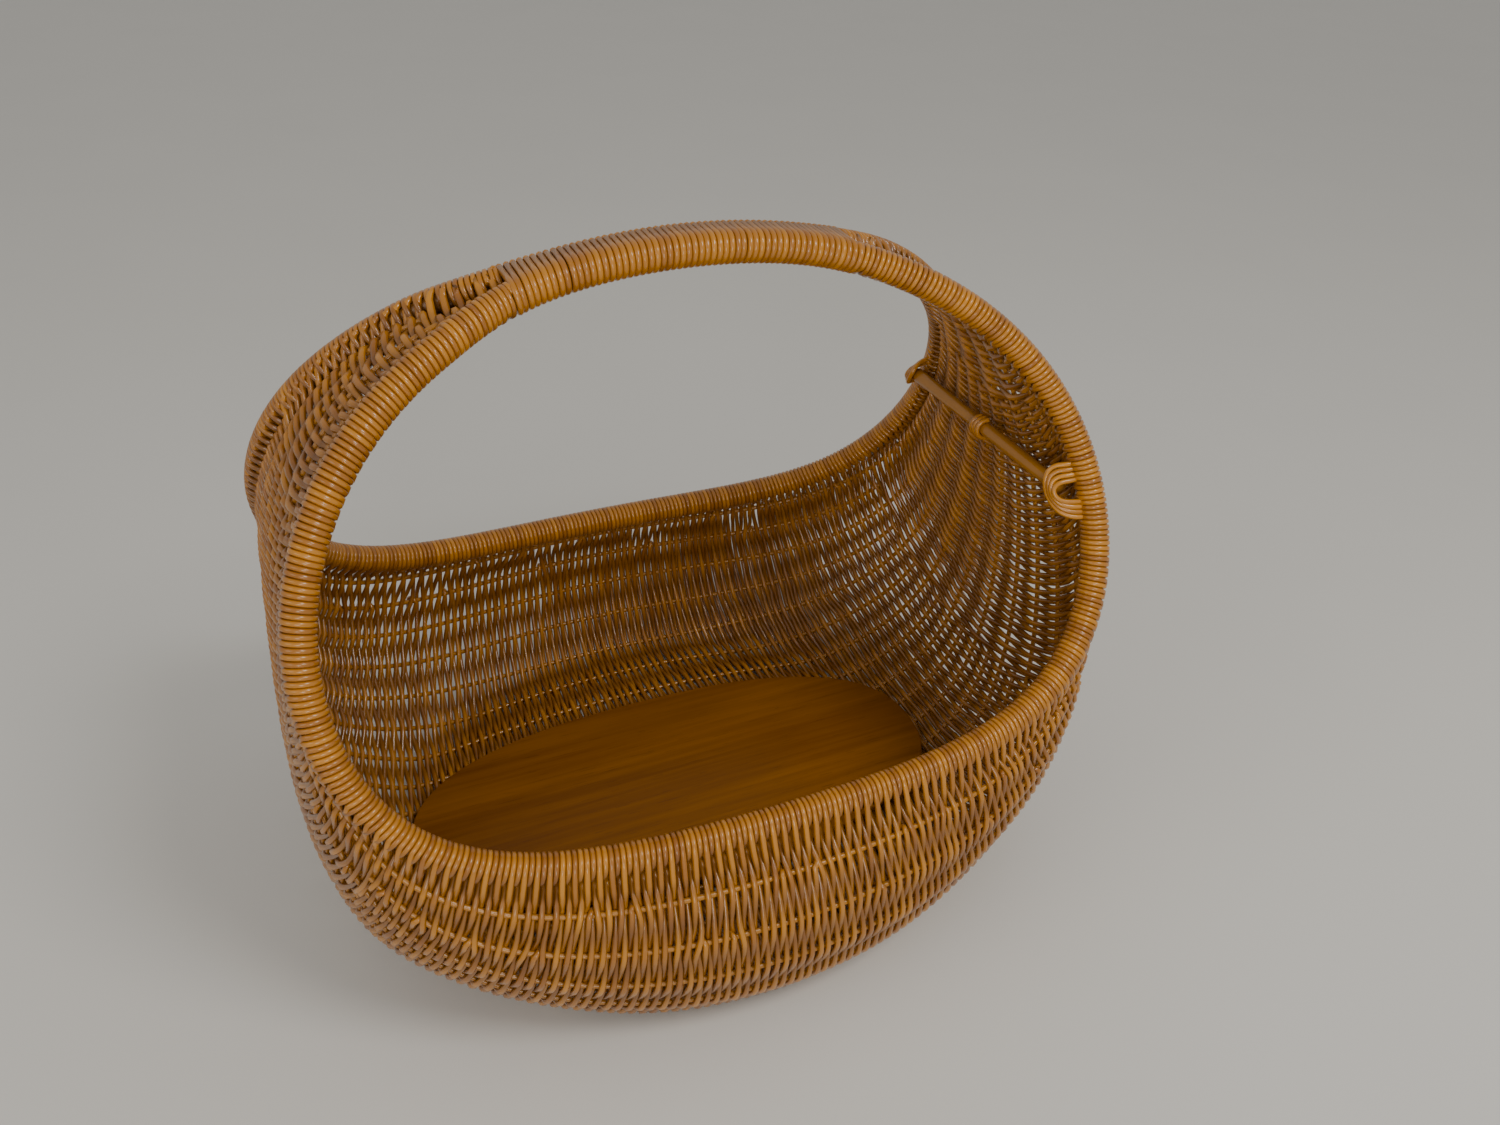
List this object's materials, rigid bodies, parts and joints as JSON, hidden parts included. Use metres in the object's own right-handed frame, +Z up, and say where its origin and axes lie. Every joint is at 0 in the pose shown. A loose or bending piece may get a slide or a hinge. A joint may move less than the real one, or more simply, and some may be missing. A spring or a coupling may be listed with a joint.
{
  "type": "wicker pet bed basket",
  "caption": "Oval rib-woven rattan pet basket with an arched carry handle, low front and rear rims, a brace across one end and a loose plywood floor board.",
  "frame": {"origin": "on the floor under the middle of the basket", "axes": "+X along the basket's length, -Y towards its front rim, +Z up to the handle"},
  "size_m": [0.7304, 0.5892, 0.6102],
  "materials": {
    "woven_rattan": "golden brown varnished round-core rattan, woven over ribs",
    "wrapping_cane": "golden brown glossy varnished rattan, wrapped tightly side by side",
    "rattan_pole": "smooth varnished rattan pole",
    "varnished_plywood": "dark amber varnished plywood with lengthways grain"
  },
  "bodies": {
    "basket": {"front_rim_hoop": "rattan_pole", "rear_rim_hoop": "rattan_pole", "spine_rib": "rattan_pole", "rib_front_01": "rattan_pole", "rib_front_02": "rattan_pole", "rib_front_03": "rattan_pole", "rib_front_04": "rattan_pole", "rib_front_05": "rattan_pole", "rib_front_06": "rattan_pole", "rib_front_07": "rattan_pole", "rib_front_08": "rattan_pole", "rib_front_09": "rattan_pole", "rib_front_10": "rattan_pole", "rib_rear_01": "rattan_pole", "rib_rear_02": "rattan_pole", "rib_rear_03": "rattan_pole", "rib_rear_04": "rattan_pole", "rib_rear_05": "rattan_pole", "rib_rear_06": "rattan_pole", "rib_rear_07": "rattan_pole", "rib_rear_08": "rattan_pole", "rib_rear_09": "rattan_pole", "rib_rear_10": "rattan_pole", "woven_wall": "woven_rattan", "handle_wrap": "wrapping_cane", "right_brace": "rattan_pole", "right_brace_front_binding": "wrapping_cane", "right_brace_spine_binding": "wrapping_cane", "right_brace_rear_binding": "wrapping_cane"},
    "board": {"floor_board": "varnished_plywood"}
  },
  "joints": [
    {"name": "floor_board_lift", "type": "slide", "parent": "basket", "child": "board", "axis": [0, 0, 1], "range_m": [0, 0.12]}
  ]
}
